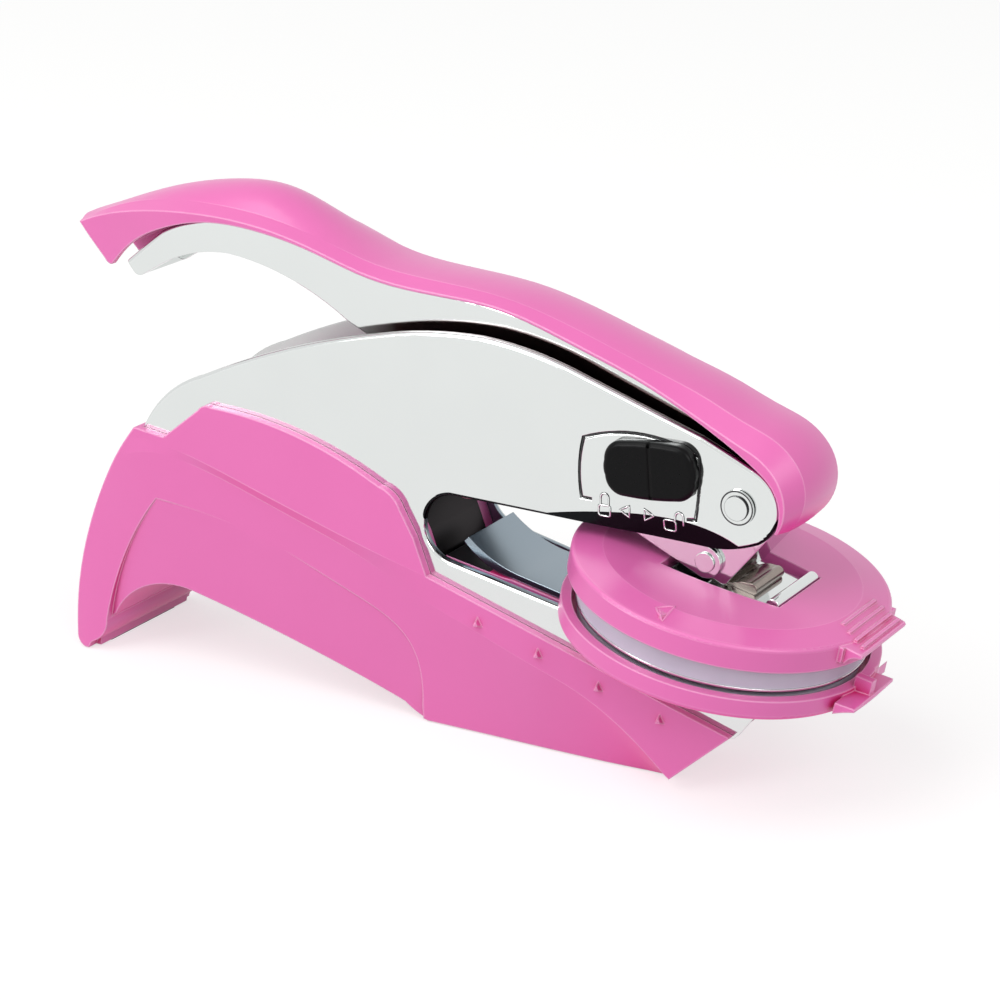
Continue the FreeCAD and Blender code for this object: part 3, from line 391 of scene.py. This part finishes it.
# tones of the pink mouldings; the last three are painted: a highlight on edges, shade in corners
# and light on undersides
PINK = {
    "colour": srgb(226, 108, 177), "deep": srgb(222, 101, 172), "edge_highlight_tone": srgb(246, 170, 212),
    "crease_shade_tone": srgb(205, 24, 110), "underside_light_tone": srgb(250, 62, 168),
}
CHROME = srgb(216, 219, 218)

pink = moulded_pink("pink_moulding", **PINK)
# the base's throat is painted nearly black, as shade
base_pink = base_moulding("base_pink", throat_shade_tone=srgb(14, 3, 8), **PINK)
chrome = bright_chrome("bright_chrome", CHROME, 0.05)
# plates: painted shade in the slit, and a painted dark reflection on the lower bevels
plates = plate_chrome("plate_chrome", CHROME, inner=srgb(142, 154, 163), slit_shade_tone=srgb(70, 48, 50),
                      dark=srgb(26, 27, 29))
# pin head: painted shade in its rings
pin_head = pin_chrome("pin_chrome", CHROME, dark=srgb(72, 72, 74))
bed_steel = bright_chrome("bed_steel", srgb(144, 156, 165), 0.2)
steel = brushed("zinc_steel", srgb(186, 188, 192), 0.26)
knuckle_steel = brushed("tempered_steel", srgb(158, 146, 139), 0.16)
black = satin_black("slider_black")
resin = die_resin("die_resin")
rubber = soft_rubber("pad_rubber")
# black for painted shade in lines and round raised ones
line_shade = painted_line_shade("painted_line_shade")

FINISH = {
    "base_shell": base_pink, "handle_cover": pink, "clip_upper": pink, "clip_lower": pink,
    "frame_side_left": plates, "frame_side_right": plates, "handle_lever": chrome,
    "pivot_pin": pin_head, "bed_plate": bed_steel, "link_left": chrome, "link_right": chrome,
    "ram_pin": chrome, "press_shoe": chrome, "die_ring": chrome, "lock_slider": black,
    "upper_die": resin, "lower_die": resin, "foot_pad_front": rubber, "foot_pad_rear": rubber,
    "cam_knuckle": knuckle_steel,
}


def coat(piece, finish):
    """The piece has this one material."""
    piece.data.materials.clear()
    piece.data.materials.append(finish)


for name, node in nodes.items():
    coat(node, FINISH.get(name, steel))


# ---------------------------------------------------------------- drawn lines on plate and clip

def landed(node, start, way, lift):
    """Point where a ray meets a node, raised by the lift in millimetres."""
    hit, place, _, _ = nodes[node].ray_cast(start, way)
    if not hit:
        raise RuntimeError(f"nothing of {node} under {start}")
    return place - way * lift * MM


def on_plate(x, z, lift):
    """Point over the outer face of the near plate, given from the pivot in millimetres."""
    return landed("frame_side_right", PIVOT + Vector((x, -60, z)) * MM, Vector((0, 1, 0)), lift)


def on_clip(u, v, lift):
    """Point over the upper clip, given along and across its sloping top in millimetres."""
    down = Vector((-math.sin(CLIP_TILT), 0, -math.cos(CLIP_TILT)))
    along = Vector((math.cos(CLIP_TILT), 0, -math.sin(CLIP_TILT)))
    start = CLIP_MIDDLE + along * u * MM + Vector((0, v * MM, 0)) - down * 0.02
    return landed("clip_upper", start, down, lift)


def settle():
    """The active object's place goes into its mesh, and its object to the origin."""
    bpy.ops.object.transform_apply(location=True, rotation=True, scale=True)


def stroke(name, points, spot, thick, lift, finish, body="frame", closed=False, steps=3):
    """Rod along a surface through the given points, partly sunk into it.

    thick is its radius and lift the height of its middle over the surface, in millimetres;
    steps is how many pieces each stretch between two points has.
    """
    corners = points + points[:1] if closed else points
    path = []
    for one, two in zip(corners, corners[1:]):
        for n in range(steps):
            share = n / steps
            path.append(spot(*(a + (b - a) * share for a, b in zip(one, two)), lift))
    path.append(path[0] if closed else spot(*corners[-1], lift))
    bpy.ops.mesh.primitive_plane_add(size=MM, location=path[0])
    rod = bpy.context.object
    rod.name = name
    settle()
    bpy.ops.object.mode_set(mode="EDIT")
    bpy.ops.mesh.select_all(action="SELECT")
    bpy.ops.mesh.merge(type="CENTER")
    for here, there in zip(path, path[1:]):
        bpy.ops.mesh.extrude_region_move(TRANSFORM_OT_translate={"value": there - here})
    bpy.ops.mesh.select_all(action="SELECT")
    bpy.ops.mesh.remove_doubles(threshold=1e-6)
    bpy.ops.object.mode_set(mode="OBJECT")
    bpy.ops.object.convert(target="CURVE")
    rod.data.bevel_depth = thick * MM
    rod.data.bevel_resolution = 3
    rod.data.use_fill_caps = True
    bpy.ops.object.convert(target="MESH")
    rod = bpy.context.object
    bpy.ops.object.shade_smooth()
    coat(rod, finish)
    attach(rod, body)
    bpy.ops.object.select_all(action="DESELECT")


def arc(centre_x, centre_z, radius_x, radius_z, start, end, count):
    """Points of part of an ellipse, between two angles in degrees."""
    turns = [math.radians(start + (end - start) * n / count) for n in range(count + 1)]
    return [(centre_x + radius_x * math.cos(a), centre_z + radius_z * math.sin(a)) for a in turns]


def embossed(name, points, closed=False):
    """Raised bright line with painted shade, a black line, round its foot."""
    # painted shade: a black rod round the line's foot
    stroke(f"{name}_foot", points, on_plate, 0.32, -0.14, line_shade, closed=closed)
    stroke(f"{name}_line", points, on_plate, 0.19, 0.08, chrome, closed=closed)


def padlock(name, x, z, bow_x, bow_z, open_end):
    """Outlined padlock: a body with cut corners, and a shackle whose front end may stand clear."""
    half, tall, cut = 1.35, 2.4, 0.35
    bow_half, bow_tall = 0.95, 1.05
    back, front, foot = x - half, x + half, z - tall
    embossed(f"{name}_body", [
        (back, z - cut), (back, foot + cut), (back + cut, foot), (front - cut, foot),
        (front, foot + cut), (front, z - cut), (front - cut, z), (back + cut, z)], closed=True)
    bow = arc(bow_x, bow_z, bow_half, bow_tall, 180, 0, 6)
    embossed(f"{name}_shackle", [(bow[0][0], z), *bow, (bow[-1][0], z + open_end)])


def pictograms():
    """Closed padlock, open padlock and two arrows under the slider, and the mark on the clip."""
    padlock("padlock_closed", -30.4, -5.1, -30.4, -3.5, 0.0)
    padlock("padlock_open", -15.3, -5.6, -13.1, -4.6, -0.7)
    embossed("arrow_back", [(-26.8, -5.4), (-24.6, -4.2), (-24.6, -6.8)], closed=True)
    embossed("arrow_front", [(-18.9, -5.4), (-21.1, -4.2), (-21.1, -6.8)], closed=True)
    stroke("clip_mark", [(-2.0, -29.4), (0.8, -26.6), (1.2, -32.4)], on_clip, 0.28, -0.08, pink,
           body="upper_clip", closed=True)


def through(one, two, three, count, shift_x, shift_z):
    """Points of the circle through three places, from the first to the last, moved sideways."""
    (ax, az), (bx, bz), (cx, cz) = one, two, three
    turn = 2 * (ax * (bz - cz) + bx * (cz - az) + cx * (az - bz))
    a2, b2, c2 = ax * ax + az * az, bx * bx + bz * bz, cx * cx + cz * cz
    mx = (a2 * (bz - cz) + b2 * (cz - az) + c2 * (az - bz)) / turn
    mz = (a2 * (cx - bx) + b2 * (ax - cx) + c2 * (bx - ax)) / turn
    radius = math.hypot(ax - mx, az - mz)
    start, end = math.atan2(az - mz, ax - mx), math.atan2(cz - mz, cx - mx)
    turned = (end - start + math.pi) % (2 * math.pi) - math.pi
    angles = [start + turned * n / count for n in range(count + 1)]
    return [(mx + radius * math.cos(a) + shift_x, mz + radius * math.sin(a) + shift_z)
            for a in angles]


def panel_groove_shade():
    """Painted shade: black line in the shallow groove round the slider and its pictograms, open at
    the bottom.
    """
    half = 0.35
    back_low, back_middle, back_top = (-36.2, -4.6), (-36.8, 2.2), (-35.9, 9.2)
    crown = (-22.0, 12.1)
    front_top, front_middle, front_low = (-8.8, 9.4), (-8.5, 2.6), (-9.1, -4.9)
    first = [(-33.4, back_low[1] + half), (back_low[0] + half, back_low[1] + half)]
    back = through(back_low, back_middle, back_top, 6, half, 0)
    top = through(back_top, crown, front_top, 12, 0, -half)
    front = through(front_top, front_middle, front_low, 6, -half, 0)
    last = [(front_low[0] - half, front_low[1] + half), (-11.4, -5.2 + half)]
    stroke("panel_groove_shade", first + back[1:] + top[1:-1] + front + last, on_plate, 0.30, 0.0, line_shade,
           steps=2)


# ---------------------------------------------------------------- return spring

def return_coil():
    """Coil spring beneath the handle, in the place of the return spring, which it hides."""
    low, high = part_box("return_spring")
    radius = (high.x - low.x) / 2 - SPRING_WIRE
    rise = high.z - low.z - 2 * SPRING_WIRE
    turns = rise / SPRING_PITCH
    bpy.ops.mesh.primitive_circle_add(vertices=12, radius=SPRING_WIRE,
                                      rotation=(math.pi / 2, 0, 0))
    coil = bpy.context.object
    coil.name = "return_coil"
    settle()
    bpy.ops.object.mode_set(mode="EDIT")
    bpy.ops.mesh.select_all(action="SELECT")
    bpy.ops.transform.translate(value=(radius, 0, low.z + SPRING_WIRE))
    bpy.ops.object.mode_set(mode="OBJECT")
    screw = coil.modifiers.new("coil", "SCREW")
    screw.axis = "Z"
    screw.angle = 2 * math.pi * turns
    screw.screw_offset = rise
    screw.steps = screw.render_steps = round(SPRING_STEPS_PER_TURN * turns)
    bpy.ops.object.modifier_apply(modifier=screw.name)
    coil.location = ((low.x + high.x) / 2, (low.y + high.y) / 2, 0)
    settle()
    bpy.ops.object.mode_set(mode="EDIT")
    bpy.ops.mesh.select_all(action="SELECT")
    bpy.ops.mesh.remove_doubles(threshold=1e-6)
    bpy.ops.mesh.fill_holes(sides=0)
    bpy.ops.mesh.normals_make_consistent(inside=False)
    bpy.ops.object.mode_set(mode="OBJECT")
    bpy.ops.object.shade_smooth_by_angle(angle=math.radians(50))
    coat(coil, steel)
    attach(coil, "frame")
    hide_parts("return_spring")
    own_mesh(coil)
    bpy.ops.object.select_all(action="DESELECT")


# ---------------------------------------------------------------- stage, lamps and camera

# grey of the floor under the lamps, its grey and its own light as seen, and no light
FLOOR_LIT = (0.60, 0.60, 0.60, 1)
FLOOR_SEEN = (0.42, 0.42, 0.418, 1)
FLOOR_GLOW = (0.64, 0.64, 0.637, 1)
NO_GLOW = (0, 0, 0, 1)
# strength of the white surroundings: on things, and seen
SKY_LIT, SKY_SEEN = 0.5, 1.0
# name, place, width in metres and power in watts
LAMPS = (
    ("key", (-0.7, -1.3, 2.0), 1.8, 26),
    ("side", (-0.9, -1.7, 0.6), 0.7, 10),
    ("fill", (1.5, -0.8, 1.2), 1.0, 12),
)
EYE_PLACE = (0.31675, -0.4925, 0.2633)
EYE_TURN = (math.radians(69.96), 0, math.radians(31.99))
SENSOR_WIDTH, FOCAL_LENGTH = 36, 101.97


def floor():
    """Pale floor: darker for the light that falls on things than for the eye."""
    bpy.ops.mesh.primitive_plane_add(size=12)
    plane = bpy.context.object
    plane.name = "floor"
    paint = Paint.material("pale_floor")
    seen = paint.seen()
    paint.set(Base_Color=paint.blend(seen, FLOOR_LIT, FLOOR_SEEN))
    paint.set(Emission_Color=paint.blend(seen, NO_GLOW, FLOOR_GLOW))
    paint.set(Emission_Strength=1.0, Roughness=0.9, Specular_IOR_Level=0.0)
    plane.data.materials.append(paint.owner)


def sky():
    """White surroundings."""
    world = bpy.data.worlds.new("studio")
    bpy.context.scene.world = world
    paint = Paint(world, "Background")
    paint.set(Color=(1, 1, 1, 1), Strength=SKY_LIT + paint.seen() * (SKY_SEEN - SKY_LIT))


def lamp(name, place, size, power):
    """Square soft lamp that is turned to the pivot."""
    bpy.ops.object.light_add(type="AREA", location=place)
    light = bpy.context.object
    light.name = name
    light.data.size = size
    light.data.energy = power
    light.rotation_euler = (PIVOT - Vector(place)).to_track_quat("-Z", "Y").to_euler()


def camera():
    bpy.ops.object.camera_add(location=EYE_PLACE)
    eye = bpy.context.object
    eye.name = "camera"
    eye.rotation_euler = EYE_TURN
    eye.data.sensor_width = SENSOR_WIDTH
    eye.data.lens = FOCAL_LENGTH
    bpy.context.scene.camera = eye


bpy.context.scene.view_settings.view_transform = "Standard"
pictograms()
panel_groove_shade()
return_coil()
floor()
sky()
for setting in LAMPS:
    lamp(*setting)
camera()
